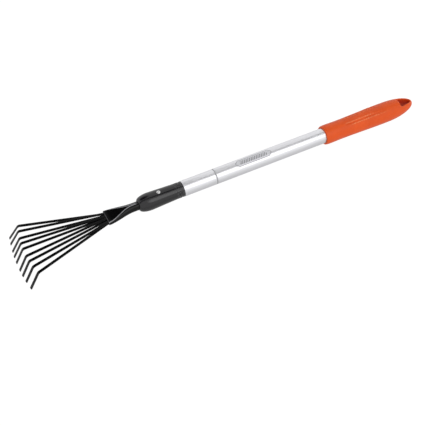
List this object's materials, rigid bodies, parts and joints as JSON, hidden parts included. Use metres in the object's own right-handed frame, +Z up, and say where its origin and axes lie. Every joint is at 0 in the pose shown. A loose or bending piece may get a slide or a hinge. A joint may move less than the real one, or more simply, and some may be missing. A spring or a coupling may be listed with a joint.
{
  "type": "leaf rake",
  "caption": "Hand leaf rake: a fan of flat spring tines on a twist-lock telescopic tube handle, with a moulded grip that ends in a hang hole.",
  "frame": {"origin": "on the ground plane under the middle of the closed rake's bounding box, with the tine tips and the belly of the grip resting on that plane", "axes": "+X from the tines to the grip, in plan along the handle; +Z up; +Y completes a right-handed frame, and runs across the tines"},
  "size_m": [0.6954, 0.1032, 0.0393],
  "materials": {
    "tine_steel": "gloss black stove enamel on spring steel",
    "head_socket_steel": "gloss black stove enamel on steel tube",
    "ferrule_plastic": "satin black moulded plastic",
    "collar_plastic": "fine-grained black moulded plastic",
    "rivet_steel": "zinc-plated steel, dull in the hollow of its head",
    "outer_aluminium": "satin anodised, with fine drawing lines along the tube",
    "inner_aluminium": "satin, with faint rub marks from the bush",
    "bush_plastic": "dark grey moulded bearing plastic",
    "badge_film": "blank silver film with a dark outline",
    "plug_plastic": "natural white moulded plastic",
    "expander_plastic": "dark grey moulded plastic",
    "lock_steel": "zinc-plated turned steel",
    "grip_plastic": "orange-red moulded plastic with a light sheen"
  },
  "bodies": {
    "handle": {"outer_tube": "outer_aluminium", "tube_bush": "bush_plastic", "name_badge": "badge_film", "grip": "grip_plastic"},
    "expander": {"expander_sleeve": "expander_plastic"},
    "head": {"inner_tube": "inner_aluminium", "lower_sleeve": "outer_aluminium", "collar": "collar_plastic", "ferrule": "ferrule_plastic", "ferrule_rivet": "rivet_steel", "head_socket": "head_socket_steel", "tine_1": "tine_steel", "tine_2": "tine_steel", "tine_3": "tine_steel", "tine_4": "tine_steel", "tine_5": "tine_steel", "tine_6": "tine_steel", "tine_7": "tine_steel", "tine_8": "tine_steel", "tine_9": "tine_steel", "expander_plug": "plug_plastic", "expander_screw": "lock_steel", "expander_stop_nut": "lock_steel"},
    "cone": {"expander_cone": "lock_steel"}
  },
  "joints": [
    {"name": "tube_slide", "type": "slide", "parent": "handle", "child": "expander", "axis": [-0.9998, 0, 0.0195], "range_m": [0, 0.2]},
    {"name": "twist_lock", "type": "hinge", "parent": "expander", "child": "head", "pos_m": [0.21544, 0, 0.01842], "axis": [0.9998, 0, -0.0195], "range_deg": [0, 270]},
    {"name": "cone_travel", "type": "slide", "parent": "expander", "child": "cone", "axis": [0.9998, 0, -0.0195], "range_m": [0, 0.0016]}
  ],
  "couplings": [
    {"joint": "cone_travel", "follows": "twist_lock", "m_per_rad": 0.00031831}
  ]
}
